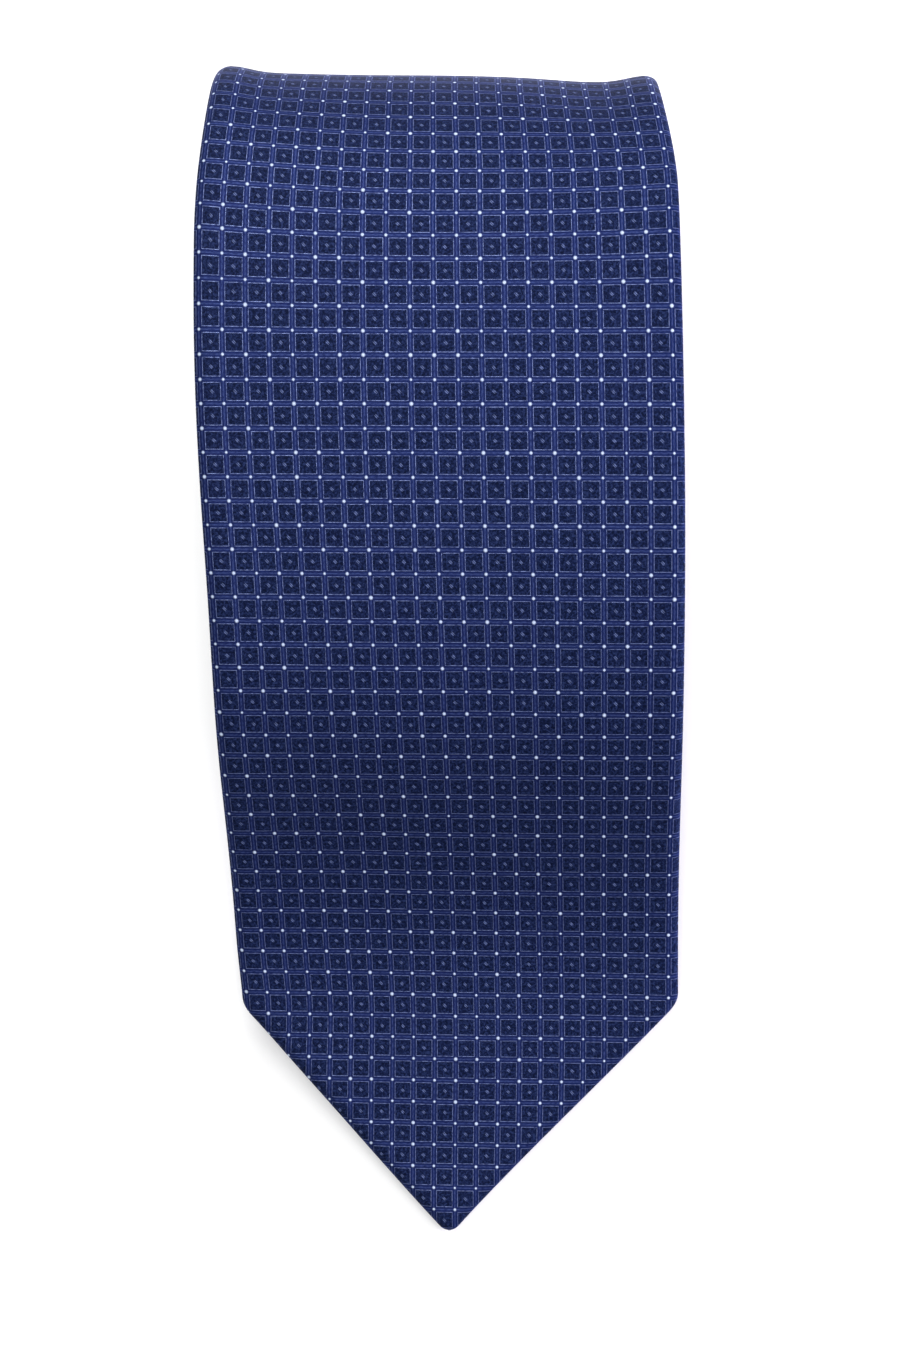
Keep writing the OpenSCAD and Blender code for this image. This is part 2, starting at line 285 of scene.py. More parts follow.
def place(s, x, depth):
    """Where the point s along, x across and depth below the outer face lies, in metres."""
    s, x, depth = np.broadcast_arrays(*(np.asarray(v, float) for v in (s, x, depth)))
    # the folded edges stand up at the far shoulder, and the cloth in front has slow waves
    shoulder = smooth_step((s - 196) / 18) * smooth_step((252 - s) / 20)
    raised = (1.1 * hump(x, -37.5, 4.5) + 1.0 * hump(x, 38, 4.5)
              - 0.45 * hump(x, 28, 9) + 0.1 * hump(x, -10, 14))
    outer = smooth_step((s - 4) / 25) * smooth_step((246 - s) / 20)
    wave = (0.10 * np.sin(s / 11 + x / 17) + 0.08 * np.sin(s / 23 - x / 9)
            + 0.05 * np.sin(x / 5.5 + s / 31))
    d = depth * np.interp(s, knot_s, press) - raised * shoulder - wave * outer
    forward = np.interp(s, line_s, line[:, 0]) + d * np.interp(s, line_s, inward[:, 0])
    up = np.interp(s, line_s, line[:, 1]) + d * np.interp(s, line_s, inward[:, 1])
    # the back of the roll is a little nearer on the right
    y = -forward
    y = y - smooth_step((y - 16) / 40) * (1.4 + 0.05 * x)
    # the blade is spread on the crest, drawn in behind it and pulled in twice on the left
    crest = smooth_step((s - 80) / 60) * smooth_step((212 - s) / 30)
    drawn_in = smooth_step((s - 190) / 30) * smooth_step((262 - s) / 30)
    left = smooth_step(-x / BLADE_HALF)
    x = x * (1 + 0.016 * crest - 0.028 * drawn_in) - 0.3 * crest - 0.6 * drawn_in
    x = x + left * (0.85 * hump(s, 122, 26) + 0.6 * hump(s, POINT, 8))
    # the inner turns have slipped sideways
    slip = 1.1 * np.sin((s - 250) / 150) * smooth_step((s - 250) / 60)
    x = x + slip + off_grain(s)
    return np.stack([x, y, up], axis=-1) * MM


# %% [markdown]
# ## Outline of the tie laid flat
#
# Laid flat, the tie is wide at the blade, tapers to the neck and widens again to a small
# point at the tail. The two points are cut straight, but folded cloth never has a sharp
# corner, so the tips are rounded by a circle and the corners by a soft minimum.

# %% Outline
TIP_W, TIP_R = 1.0, 2.3  # half width that a tip is cut to, and the radius it is rounded to
TIP_END = 1.2  # nearer to a tip than this, the outline's lean is the one found here
WIDTHS = [(POINT, BLADE_HALF), (250, BLADE_HALF), (748, NECK_HALF), (TAIL_SEAM_S, NECK_HALF),
          (TIE_LENGTH - TAIL_POINT, TAIL_HALF)]
BLADE_K = (BLADE_HALF - TIP_W) / POINT
TAIL_K = (TAIL_HALF - TIP_W) / TAIL_POINT


def soft_min(a, b, reach):
    """The smaller of a and b, blended where they differ by less than reach."""
    h = np.clip(0.5 + 0.5 * (b - a) / reach, 0, 1)
    return b + (a - b) * h - reach * h * (1 - h)


def tip_circle(k):
    """Centre of the circle that rounds a point whose edges rise by k, and where it ends."""
    centre = (TIP_R * math.hypot(1, k) - TIP_W) / k
    return centre, centre - TIP_R * k / math.hypot(1, k)


def half_width(s):
    s = np.asarray(s, float)
    body = np.interp(s, [p[0] for p in WIDTHS], [p[1] for p in WIDTHS])
    w = soft_min(TIP_W + BLADE_K * s, body, 1.6)
    w = soft_min(TIP_W + TAIL_K * (TIE_LENGTH - s), w, 1.2)
    for k, t in ((BLADE_K, s), (TAIL_K, TIE_LENGTH - s)):
        centre, touch = tip_circle(k)
        arc = np.sqrt(np.maximum(TIP_R**2 - (centre - t) ** 2, 0))
        w = np.where(t < touch, arc, w)
    return w


def edge_lean(s):
    """How fast the half width grows along the tie."""
    s = np.clip(s, TIP_END, TIE_LENGTH - TIP_END)
    return (half_width(s + 0.05) - half_width(s - 0.05)) / 0.1


def from_edge(s, x):
    """Distance inwards from the outline, and the outline's own outward direction there."""
    s, x = np.broadcast_arrays(np.asarray(s, float), np.asarray(x, float))
    lean = edge_lean(s)
    cosine = 1 / np.sqrt(1 + lean**2)
    away = (half_width(s) - abs(x)) * cosine
    nx, ns = cosine, -lean * cosine
    for k, t, way in ((BLADE_K, s, -1), (TAIL_K, TIE_LENGTH - s, 1)):
        centre = tip_circle(k)[0]
        inside = (t < centre) & (abs(x) < (centre - t) / k)
        reach = np.maximum(np.hypot(centre - t, x), 1e-6)
        away = np.where(inside, TIP_R - reach, away)
        nx = np.where(inside, abs(x) / reach, nx)
        ns = np.where(inside, way * (centre - t) / reach, ns)
    return np.maximum(away, 0), nx * np.sign(x), ns


ROLL_R = 2.3  # how far in from the outline the folded edge is round


def rolled(away):
    """How far the face drops towards the middle of the tie near its folded edge."""
    inside = np.clip(1 - away / ROLL_R, 0, 1)
    return THICK / 2 * (1 - np.sqrt(1 - inside**2))


print("half widths at 0, 20, 42, 250, 748 mm:", np.round(half_width([0.02, 20, 42, 250, 748]), 1))

# %% [markdown]
# ## The silk envelope
#
# One panel of silk is folded round both sides so that its edges meet in the middle of
# the back, each edge turned under. At the two points the back opens into a window that
# shows the lining. In Blender this is a sheet of quads: its columns run from one turned
# edge, round the back, the left fold, the front, the right fold and back to the other
# turned edge. The cloth gets its thickness afterwards.

# %% Columns and rows of the sheet
HEM, SLOT = 8, 0.3
BAR_TACK_S, TAIL_TACK_S = 92, TIE_LENGTH - 52
EDGE_STEPS = np.array([0, 0.07, 0.22, 0.45, 0.75, 1.1, 1.6, 2.3])  # columns in from the fold
TURN_UNDER = [0.05, 0.21, 0.36, 0.42, 0.43]  # how deep the turned edge lies below the back
TURNED = 3.5  # width of the turned edge
LAYER = 0.2  # thickness of one layer of silk
# distance of each window's own point from the tip
WINDOW_FROM = HEM / math.sin(math.atan2(BLADE_HALF, POINT))
TAIL_WINDOW_FROM = HEM / math.sin(math.atan2(TAIL_HALF, TAIL_POINT))


def window(s):
    """Half the gap that the two turned edges leave on the back."""
    blade_open = (POINT - WINDOW_FROM) * BLADE_HALF / POINT
    tail_open = (TAIL_POINT - TAIL_WINDOW_FROM) * TAIL_HALF / TAIL_POINT
    places = [0, WINDOW_FROM, POINT, BAR_TACK_S, TAIL_TACK_S, TIE_LENGTH - TAIL_POINT,
              TIE_LENGTH - TAIL_WINDOW_FROM, TIE_LENGTH]
    gaps = [SLOT, SLOT, blade_open, SLOT, SLOT, tail_open, SLOT, SLOT]
    return np.minimum(np.interp(s, places, gaps), 0.3 * half_width(s))


def section(s, front_n, flap_n):
    """Columns of the envelope at every row: x, depth, and the place on the cut cloth."""
    w = half_width(s)
    shrink = np.clip(w / 8, 0, 1)
    cosine = 1 / np.sqrt(1 + np.clip(edge_lean(s), -3, 3) ** 2)
    steps = EDGE_STEPS[None, :] * shrink / cosine
    flat_w = w - steps[:, -1:]
    gap = np.minimum(window(s), 0.6 * flat_w)
    across = np.linspace(0, 1, front_n)[None, :]
    front = flat_w * across
    front_arc = w - steps[:, ::-1][:, 1:]
    back_arc = w - steps[:, 1:]
    flap = flat_w + (gap + 0.3 * shrink - flat_w) * np.linspace(0, 1, flap_n + 1)[None, 1:]
    turned = np.minimum(TURNED, 0.45 * (flat_w - gap))
    fold = [gap + 0.1 * shrink, gap, gap + 0.1 * shrink, gap + 0.3 * shrink, gap + turned]
    x = np.concatenate([front, front_arc, back_arc, flap, *fold], axis=1)
    away, nx, ns = from_edge(s, x)
    drop = rolled(away)
    columns = x.shape[1]
    is_front = np.arange(columns) < front_n + len(EDGE_STEPS) - 1
    under = np.concatenate([np.zeros(columns - len(TURN_UNDER)), TURN_UNDER])
    under = under * np.clip(away / 1.2, 0, 1)
    depth = np.where(is_front, drop, THICK - drop - under)
    cloth_x = np.where(is_front, x, x + 2 * away * nx)
    cloth_s = np.where(is_front, s, s + 2 * away * ns)
    return x, depth, cloth_x, cloth_s


def rows_between(a, b, step):
    """Even rows from a to b, about a step apart."""
    return np.linspace(a, b, max(2, int(round((b - a) / step)) + 1))


def mirrored(x, depth, cloth_x, cloth_s):
    """The half section and its mirror image, joined into one row from edge to edge."""
    halves = ((x, -1), (depth, 1), (cloth_x, -1), (cloth_s, 1))
    return [np.concatenate([sign * part[:, :0:-1], part], axis=1) for part, sign in halves]


# %% Building a sheet from its rows
def grid_mesh(name, points, cloth=None, ring=False, caps=False):
    """A mesh of quads through a grid of points in metres, with the place on the cloth as its UV."""
    rows, cols = points.shape[:2]
    index = np.arange(rows * cols).reshape(rows, cols)
    nxt = np.roll(index, -1, axis=1) if ring else index[:, 1:]
    here = index if ring else index[:, :-1]
    faces = np.stack([here[:-1], nxt[:-1], nxt[1:], here[1:]], axis=-1).reshape(-1, 4).tolist()
    if caps:
        faces += [index[0][::-1].tolist(), index[-1].tolist()]
    mesh = bpy.data.meshes.new(name)
    mesh.from_pydata(points.reshape(-1, 3).tolist(), [], faces)
    if cloth is not None:
        flat = cloth.reshape(-1, 2) * MM
        uv = mesh.uv_layers.new(name="cut_cloth")
        corner = np.zeros(len(mesh.loops), np.int32)
        mesh.loops.foreach_get("vertex_index", corner)
        uv.data.foreach_set("uv", flat[corner].astype(np.float32).ravel())
    piece = bpy.data.objects.new(name, mesh)
    scene.collection.objects.link(piece)
    return piece


def clean(piece, distance=2e-6):
    """Merges the points that meet at a tip and removes what that leaves with no area."""
    bm = bmesh.new()
    bm.from_mesh(piece.data)
    bmesh.ops.remove_doubles(bm, verts=bm.verts, dist=distance)
    bmesh.ops.dissolve_degenerate(bm, edges=bm.edges, dist=distance / 4)
    bm.to_mesh(piece.data)
    bm.free()


def activate(piece):
    bpy.ops.object.select_all(action="DESELECT")
    piece.select_set(True)
    bpy.context.view_layer.objects.active = piece


def thicken(piece, thickness):
    """Gives the sheet its thickness, inwards from the face it was drawn on."""
    activate(piece)
    solid = piece.modifiers.new("thickness", "SOLIDIFY")
    solid.thickness, solid.offset, solid.use_even_offset = thickness * MM, -1, False
    bpy.ops.object.modifier_apply(modifier=solid.name)
    bpy.ops.object.shade_smooth()


def eased(x, s):
    """How far the weave has crept along the tie where it is stretched over the far shoulder."""
    x = np.clip(x, -BLADE_HALF, BLADE_HALF)
    edge = abs(x) / 38
    crept = (0.85 + 1.5 * edge**2) * hump(s, 193 + 0.08 * x, 20)
    held_back = (0.2 + 1.2 * edge**2) * smooth_step((s - 203) / 20)
    return crept - held_back


def envelope(name, s, front_n, flap_n):
    """One panel of the envelope, with a row of points at every s."""
    s = s[:, None]
    x, depth, cloth_x, cloth_s = mirrored(*section(s, front_n, flap_n))
    weave_x, weave_s = cloth_x + 0.65 * off_grain(s), cloth_s - eased(cloth_x, cloth_s)
    piece = grid_mesh(name, place(s, x, depth), np.stack([weave_x, weave_s], axis=-1))
    clean(piece)
    return piece


def tip_rows(k, n):
    """Distances from a tip that share out its rounded end."""
    return tip_circle(k)[0] - TIP_R * np.cos(np.linspace(0, math.atan2(1, k), n))


# %% The blade in front
# closer rows round the tip, at the corners of the point and over the crest
round_tip = tip_rows(BLADE_K, 9)
front_rows = np.concatenate([
    round_tip, np.arange(round_tip[-1] + 0.5, 4, 0.6), np.arange(4.2, 40, 1.6),
    np.arange(40, 45, 0.7), np.arange(46, 180, 1.8), np.arange(180, SPLIT_S - 1, 1.2), [SPLIT_S],
])
blade_front = envelope("blade_front", front_rows, 24, 12)
print("blade front:", len(blade_front.data.polygons), "faces before it gets its thickness")
thicken(blade_front, LAYER)

# %% The rest of the envelope
SEAM_GAP, ROW = 0.25, 2.2
blade_rear = envelope("blade_rear", rows_between(SPLIT_S, NECK_SEAM_S - SEAM_GAP, ROW), 12, 6)
neck = envelope("neck", rows_between(NECK_SEAM_S + SEAM_GAP, TAIL_SEAM_S - SEAM_GAP, ROW), 9, 5)
round_tail = TIE_LENGTH - tip_rows(TAIL_K, 7)[::-1]
near_tail = TIE_LENGTH - 60
tail = envelope("tail", np.concatenate([
    rows_between(TAIL_SEAM_S + SEAM_GAP, near_tail, ROW),
    np.arange(near_tail + 1.5, round_tail[0] - 0.5, 1.5), round_tail,
]), 9, 5)
for piece in (blade_rear, neck, tail):
    thicken(piece, LAYER)
print("envelope:", {p.name: len(p.data.polygons) for p in (blade_front, blade_rear, neck, tail)})

# %% [markdown]
# ## Silk with a small woven check
#
# The silk is a jacquard: dark squares, each in a thin light frame, with plain bands
# between them and a pale pin dot woven at every crossing of the bands. It could be
# painted on, but the real pattern is woven, so it follows the cloth. The material reads
# the place on the cut cloth, counts cells along and across it, and mixes colour, shine
# and height from the distance to the nearest band and the nearest crossing.


# %% Node helpers
def calc(operation, *inputs):
    """A Math node: each input is a number or another node's output, and one is an output."""
    tree = next(value.id_data for value in inputs if not isinstance(value, (int, float)))
    node = tree.nodes.new("ShaderNodeMath")
    node.operation = operation
    for socket, value in zip(node.inputs, inputs):
        plug(value, socket)
    return node.outputs[0]


def plus(a, b):
    return calc("ADD", a, b)


def minus(a, b):
    return calc("SUBTRACT", a, b)


def times(a, b):
    return calc("MULTIPLY", a, b)


def ramp(factor, stops):
    """A Color Ramp node through (position, colour) stops."""
    node = factor.id_data.nodes.new("ShaderNodeValToRGB")
    elements = node.color_ramp.elements
    while len(elements) < len(stops):
        elements.new(0.5)
    for element, (position, colour) in zip(elements, stops):
        element.position, element.color = position, colour
    plug(factor, node.inputs[0])
    return node.outputs[0]


def mask(factor, stops):
    """A ramp of greys, through (position, value) stops."""
    return ramp(factor, [(position, grey(value)) for position, value in stops])


def mix_colour(factor, a, b):
    node = factor.id_data.nodes.new("ShaderNodeMix")
    node.data_type = "RGBA"
    for index, value in ((0, factor), (6, a), (7, b)):
        plug(value, node.inputs[index])
    return node.outputs[2]


def grey(v):
    return (v, v, v, 1)


def bump(shader, height, distance, strength):
    node = shader.id_data.nodes.new("ShaderNodeBump")
    set_inputs(node, {"Strength": strength, "Distance": distance, "Height": height})
    plug(node.outputs[0], shader.inputs["Normal"])


def cloth_place(tree):
    """The place on the cut cloth in millimetres, across and along."""
    uv = tree.nodes.new("ShaderNodeUVMap")
    uv.uv_map = "cut_cloth"
    split = tree.nodes.new("ShaderNodeSeparateXYZ")
    plug(uv.outputs[0], split.inputs[0])
    return calc("DIVIDE", split.outputs[0], MM), calc("DIVIDE", split.outputs[1], MM)


def vector(x, y):
    node = x.id_data.nodes.new("ShaderNodeCombineXYZ")
    set_inputs(node, {"X": x, "Y": y})
    return node.outputs[0]


def noise(where, scale, detail, distortion=0.0):
    node = where.id_data.nodes.new("ShaderNodeTexNoise")
    set_inputs(node, {"Vector": where, "Scale": scale, "Detail": detail, "Distortion": distortion})
    return node.outputs[0]


def from_whole(value):
    """Distance to the nearest whole number, 0 to 0.5."""
    return calc("ABSOLUTE", minus(value, calc("ROUND", value)))


# %% The silk
CELL_X, CELL_S = 3.860, 4.008  # size of one cell of the check
CHECK_X, CHECK_S = 0.44, 30.003  # where the check lies: across in mm, along in cells
DYE = (0.33, 0.365, 0.4)  # share of red, green and blue that is kept


def dye(r, g, b, share=1.0):
    """A colour of the silk, toned down for the strong light of this scene."""
    return tuple(share * c * d for c, d in zip(linear(r, g, b), DYE)) + (1,)


silk, tree, shader = new_material("check_silk")
across, along = cloth_place(tree)
# the check runs a little askew: its columns lean and its rows tilt
straight = minus(across, calc("MULTIPLY_ADD", along, 0.0004, -CHECK_X))
tilted = calc("MULTIPLY_ADD", straight, 0.0248, along)
cell_i = calc("DIVIDE", straight, CELL_X)
cell_j = minus(calc("DIVIDE", tilted, CELL_S), CHECK_S)
band_i, band_j = from_whole(cell_i), from_whole(cell_j)
# 0 in the middle of a band and 1 in the middle of a square
from_band = times(calc("MINIMUM", band_i, band_j), 2)
crossing = calc("SQRT", plus(times(band_i, band_i), times(band_j, band_j)))

# yarn: short floats along the lines, and a fine mottle in the squares
mottle = noise(vector(across, along), 2.6, 5.0, 0.8)
floats_s = noise(vector(times(across, 6.0), times(along, 1.6)), 1.0, 3.0)
floats_x = noise(vector(times(across, 1.6), times(along, 6.0)), 1.0, 3.0)
upright = calc("LESS_THAN", band_i, band_j)
float_noise = mix_colour(upright, floats_x, floats_s)
broken = mask(float_noise, [(0.36, 0.15), (0.6, 1)])

# thin double lines frame every square, and a faint line runs down the middle of each band
side_line = mask(from_band, [(0.215, 0), (0.245, 1), (0.265, 1), (0.3, 0)])
side_line_seen = times(side_line, broken)
middle_line = times(mask(from_band, [(0.0, 1), (0.05, 0.8), (0.09, 0)]), broken)
in_band = mask(from_band, [(0.28, 1), (0.33, 0)])
square = ramp(mottle, [(0.38, dye(14, 24, 54)), (0.5, dye(28, 39, 80)), (0.62, dye(54, 67, 114))])
plain = ramp(float_noise, [(0.35, dye(26, 37, 90)), (0.65, dye(44, 57, 118))])
ground = mix_colour(in_band, square, plain)
ground = mix_colour(times(middle_line, 0.7), ground, dye(96, 110, 172))
ground = mix_colour(side_line_seen, ground, dye(168, 178, 226))

# a small double stroke in the middle of every square
offset_i = minus(calc("FRACT", cell_i), 0.5)
offset_j = minus(calc("FRACT", cell_j), 0.5)
stroke_long = calc("DIVIDE", minus(offset_i, offset_j), 0.15)
stroke_wide = calc("DIVIDE", minus(calc("ABSOLUTE", plus(offset_i, offset_j)), 0.045), 0.035)
stroke = plus(times(stroke_long, stroke_long), times(stroke_wide, stroke_wide))
stroke_seen = times(mask(stroke, [(0.0, 1), (0.6, 0.8), (1.0, 0)]), times(mottle, 1.5))
ground = mix_colour(stroke_seen, ground, dye(150, 162, 214))

# a pin dot at every crossing, each of its own size
luck = tree.nodes.new("ShaderNodeTexWhiteNoise")
luck.noise_dimensions = "2D"
plug(vector(calc("ROUND", cell_i), calc("ROUND", cell_j)), luck.inputs["Vector"])
dot_size = calc("MULTIPLY_ADD", luck.outputs[0], 0.45, 0.78)
dot = mask(calc("DIVIDE", crossing, dot_size), [(0.0, 1), (0.035, 0.9), (0.082, 0)])
coloured = mix_colour(dot, ground, dye(232, 238, 255, 1.7))

# the floats of the bands and lines are smooth and shine, so they fade where the silk is
# turned from the light
shiny = calc("MAXIMUM", side_line_seen, times(in_band, 0.35))
set_inputs(shader, {
    "Base Color": coloured,
    "Roughness": mask(shiny, [(0.0, 0.6), (0.35, 0.5), (1.0, 0.38)]),
    "Metallic": times(shiny, minus(0.8, dot)),
    "Specular IOR Level": 0.07, "Specular Tint": (0.42, 0.5, 1, 1),
    "Sheen Weight": 0.035, "Sheen Roughness": 0.35, "Sheen Tint": (0.35, 0.45, 1, 1),
})
lines_height = plus(times(side_line, 0.5), times(in_band, 0.25))
weave_height = calc("MULTIPLY_ADD", float_noise, 0.25, lines_height)
bump(shader, calc("MULTIPLY_ADD", dot, 0.8, weave_height), 0.00006, 0.7)
for piece in (blade_front, blade_rear, neck, tail):
    piece.data.materials.append(silk)
print("silk nodes:", len(tree.nodes))

# %% [markdown]
# ## Wool interlining
#
# The body of a tie is a long strip of brushed wool, cut to the tie's shape and a little
# narrower, loose inside the silk. It is what makes the folded edges round. Here it is a
# closed slab with soft sides that follows the same curve. A second strip starts in the
# neck, and a line of zigzag stitches joins the two.

# %% Interlining
INSET = 1.5 * SILK + 3 * EASE + 0.25  # how far the wool stays in from the folded edge
JOIN_S = TAIL_SEAM_S - 60
WOOL_TOP, WOOL_BOTTOM = 0.42, 1.38  # depths below the outer face
LINING_TOP, LINING_BOTTOM = 1.46, 1.62


def slab_ring(half, top, bottom, n):
    """Columns round a slab with soft sides: x and depth, once round, for every row."""
    bulge = (bottom - top) / 2
    turn = np.linspace(-math.pi / 2, math.pi / 2, 5)[1:-1]
    flat = np.maximum(half - bulge, 0.05 * half)
    over = -flat + 2 * flat * np.linspace(0, 1, n)
    right = flat + bulge * np.cos(turn) * np.minimum(1, half / 2)
    x = np.concatenate([over, right, over[:, ::-1], -right], axis=1)
    down = top + bulge + bulge * np.sin(turn)
    depth = np.concatenate([np.full(n, top), down, np.full(n, bottom), down[::-1]])
    return x, depth + 0 * x


def slab(name, s, half, top, bottom, n=9):
    """A closed strip of cloth laid along the tie, with a round-sided section."""
    x, depth = slab_ring(half, top, bottom, n)
    cloth = np.stack([x, s + 0 * x], axis=-1)
    piece = grid_mesh(name, place(s, x, depth), cloth, ring=True, caps=True)
    activate(piece)
    bpy.ops.object.shade_smooth_by_angle(angle=math.radians(50))
    return piece


def interlining(name, a, b, step=3.0):
    """The wool between a and b, with a row at every corner of its outline."""
    corners = [c for c in (POINT, TIE_LENGTH - TAIL_POINT) if a < c < b]
    s = np.unique(np.concatenate([rows_between(a, b, step), corners]))[:, None]
    half = np.maximum(half_width(s) - INSET * np.hypot(1, edge_lean(s)), 0.4)
    return slab(name, s, half, WOOL_TOP, WOOL_BOTTOM)


wool_front = interlining("wool_front", 5, SPLIT_S, 2.0)
wool_rear = interlining("wool_rear", SPLIT_S, JOIN_S - 0.6)
wool_tail = interlining("wool_tail", JOIN_S + 0.6, TIE_LENGTH - 3)

wool, tree, shader = new_material("brushed_wool")
across, along = cloth_place(tree)
fibre = noise(vector(times(across, 0.7), along), 3.0, 6.0, 1.5)
nap = ramp(fibre, [(0.3, linear(196, 190, 176)), (0.55, linear(222, 217, 205)),
                   (0.75, linear(238, 234, 226))])
set_inputs(shader, {
    "Base Color": nap, "Roughness": 0.95, "Specular IOR Level": 0.1, "Sheen Weight": 0.3,
})
bump(shader, fibre, 0.0003, 0.8)
for piece in (wool_front, wool_rear, wool_tail):
    piece.data.materials.append(wool)
print("interlining:", {p.name: len(p.data.polygons) for p in (wool_front, wool_rear, wool_tail)})

# %% [markdown]
# ## Lining behind the points
#
# The window on the back of each point is closed by a plain satin lining, the tipping. It
# lies under the turned edges, so it is cut a few millimetres larger than the window. Its
# satin face has fine ribs and a soft shine, but none of the check.

# %% Tipping
def tipping(name, a, b, under):
    """A thin sheet under the window between a and b, reaching under the turned edges."""
    s = rows_between(a, b, 1.5)[:, None]
    limit = half_width(s) - 2.2 * np.hypot(1, edge_lean(s))
    half = np.maximum(np.minimum(window(s) + under, limit), 0.3)
    return slab(name, s, half, LINING_TOP, LINING_BOTTOM, 13)


tip_lining = tipping("tip_lining", 5.5, BAR_TACK_S + 3, 4.5)
tail_lining = tipping("tail_lining", TAIL_TACK_S - 3, TIE_LENGTH - 4.5, 3.0)

satin, tree, shader = new_material("navy_satin_lining")
across, along = cloth_place(tree)
rib = calc("SINE", times(plus(across, times(along, 0.5)), 14.0))
cloud = noise(vector(across, times(along, 0.2)), 0.35, 3.0)
tone = ramp(cloud, [(0.3, linear(22, 30, 66)), (0.7, linear(32, 42, 88))])
set_inputs(shader, {
    "Base Color": tone, "Roughness": 0.34, "Specular IOR Level": 0.5, "Sheen Weight": 0.1,
})
bump(shader, rib, 0.00003, 0.5)
for piece in (tip_lining, tail_lining):
    piece.data.materials.append(satin)
print("lining across the blade:", round(tip_lining.dimensions.x * 1000, 1), "mm")

# %% [markdown]
# ## Keeper loop and labels
#
# The keeper loop is a flat tube of the same silk, tacked down at both ends so that the
# tail can be tucked through it. It is bowed a little between its ends. The woven label
# below it is navy satin with a plain border and folded ends, and the care label is a
# small white satin tab. Both are left blank.

# %% Keeper loop
KEEPER_S, KEEPER_W, KEEPER_HALF, KEEPER_RISE = 132, 13, 25, 0.5
BACK = THICK + 0.05


def loop_ring():
    """A flattened tube across the tie: rows go across it, columns once round it."""
    end = KEEPER_HALF - 7  # the rows are closer from here outwards
    x = np.concatenate([np.linspace(-KEEPER_HALF, -end, 8), np.linspace(1 - end, end - 1, 18)[1:-1],
                        np.linspace(end, KEEPER_HALF, 8)])[:, None]
    free = smooth_step((KEEPER_HALF - abs(x) - 2.5) / 4)
    rise = KEEPER_RISE * free + 0.12 * hump(x, 4, 9)
    half_t = 0.34 + 0.06 * free
    flat = KEEPER_W / 2 - half_t
    sine, cosine = (f(np.linspace(0, math.pi, 7)) for f in (np.sin, np.cos))
    inner = np.linspace(-1, 1, 6)[1:-1]
    bulge = flat + half_t * sine
    ring_s = np.concatenate([bulge, -flat * inner, -bulge, flat * inner], axis=1)
    side = half_t + 0 * inner
    ring_d = np.concatenate([-half_t * cosine, side, half_t * cosine, -side], axis=1)
    return x + 0 * ring_s, KEEPER_S + KEEPER_W / 2 + ring_s, BACK + half_t + rise + ring_d


loop_x, loop_s, loop_d = loop_ring()
around = np.concatenate([[0], np.cumsum(np.hypot(np.diff(loop_s[10]), np.diff(loop_d[10])))])
loop_cloth = 0.7 * np.stack([around + loop_x, around - loop_x], axis=-1)
keeper = grid_mesh("keeper", place(loop_s, loop_x, loop_d), loop_cloth, ring=True)


def face_outwards(piece):
    activate(piece)
    bpy.ops.object.mode_set(mode="EDIT")
    bpy.ops.mesh.select_all(action="SELECT")
    bpy.ops.mesh.normals_make_consistent(inside=False)
    bpy.ops.object.mode_set(mode="OBJECT")


face_outwards(keeper)
thicken(keeper, LAYER)
keeper.data.materials.append(silk)
print("keeper loop is", round(keeper.dimensions.x * 1000, 1), "mm across the blade")

# %% Labels
LABEL_S, LABEL_W, LABEL_HALF = 104, 20, 23
CARE_S, CARE_L, CARE_HALF = 151, 15, 8
LABEL_T = 0.24


def sheet_patch(name, s0, s1, half, rows, cols, depth_of):
    """A thin sewn-on sheet, its face towards the inside of the roll."""
    s, x = np.linspace(s0, s1, rows)[:, None], np.linspace(half, -half, cols)
    s, x, depth = np.broadcast_arrays(s, x, depth_of(s, x))
    piece = grid_mesh(name, place(s, x, depth), np.stack([x, s], axis=-1))
    thicken(piece, LABEL_T)
    bevelled = piece.modifiers.new("soft_edge", "BEVEL")
    bevelled.width, bevelled.segments, bevelled.limit_method = 0.06 * MM, 2, "ANGLE"
    bpy.ops.object.modifier_apply(modifier=bevelled.name)
    return piece


def label_depth(s, x):
    """Sewn flat at its two ends and a little loose between them."""
    loose = smooth_step((LABEL_HALF - 2 - abs(x)) / 8)
    ends = 0.16 * smooth_step((abs(x) - LABEL_HALF + 3.2) / 0.8)
    return BACK + LABEL_T + ends + loose * (0.10 + 0.06 * np.sin(s / 5 + x / 12))


def care_depth(s, x):
    """Sewn along its lower edge, with the free edge standing a little off the silk."""
    free = smooth_step((s - CARE_S - 2) / (CARE_L - 2))
    return BACK + LABEL_T + free * (0.28 + 0.05 * np.cos(x / 2.5))


label = sheet_patch("label", LABEL_S, LABEL_S + LABEL_W, LABEL_HALF, 17, 47, label_depth)
care = sheet_patch("care_tab", CARE_S, CARE_S + CARE_L, CARE_HALF, 16, 17, care_depth)

label_satin, tree, shader = new_material("woven_label")
across, along = cloth_place(tree)
in_from_side = minus(LABEL_HALF - 1.2, calc("ABSOLUTE", across))
middle_s = LABEL_S + LABEL_W / 2
in_from_end = minus(LABEL_W / 2, calc("ABSOLUTE", minus(along, middle_s)))
inset = calc("MINIMUM", in_from_side, in_from_end)
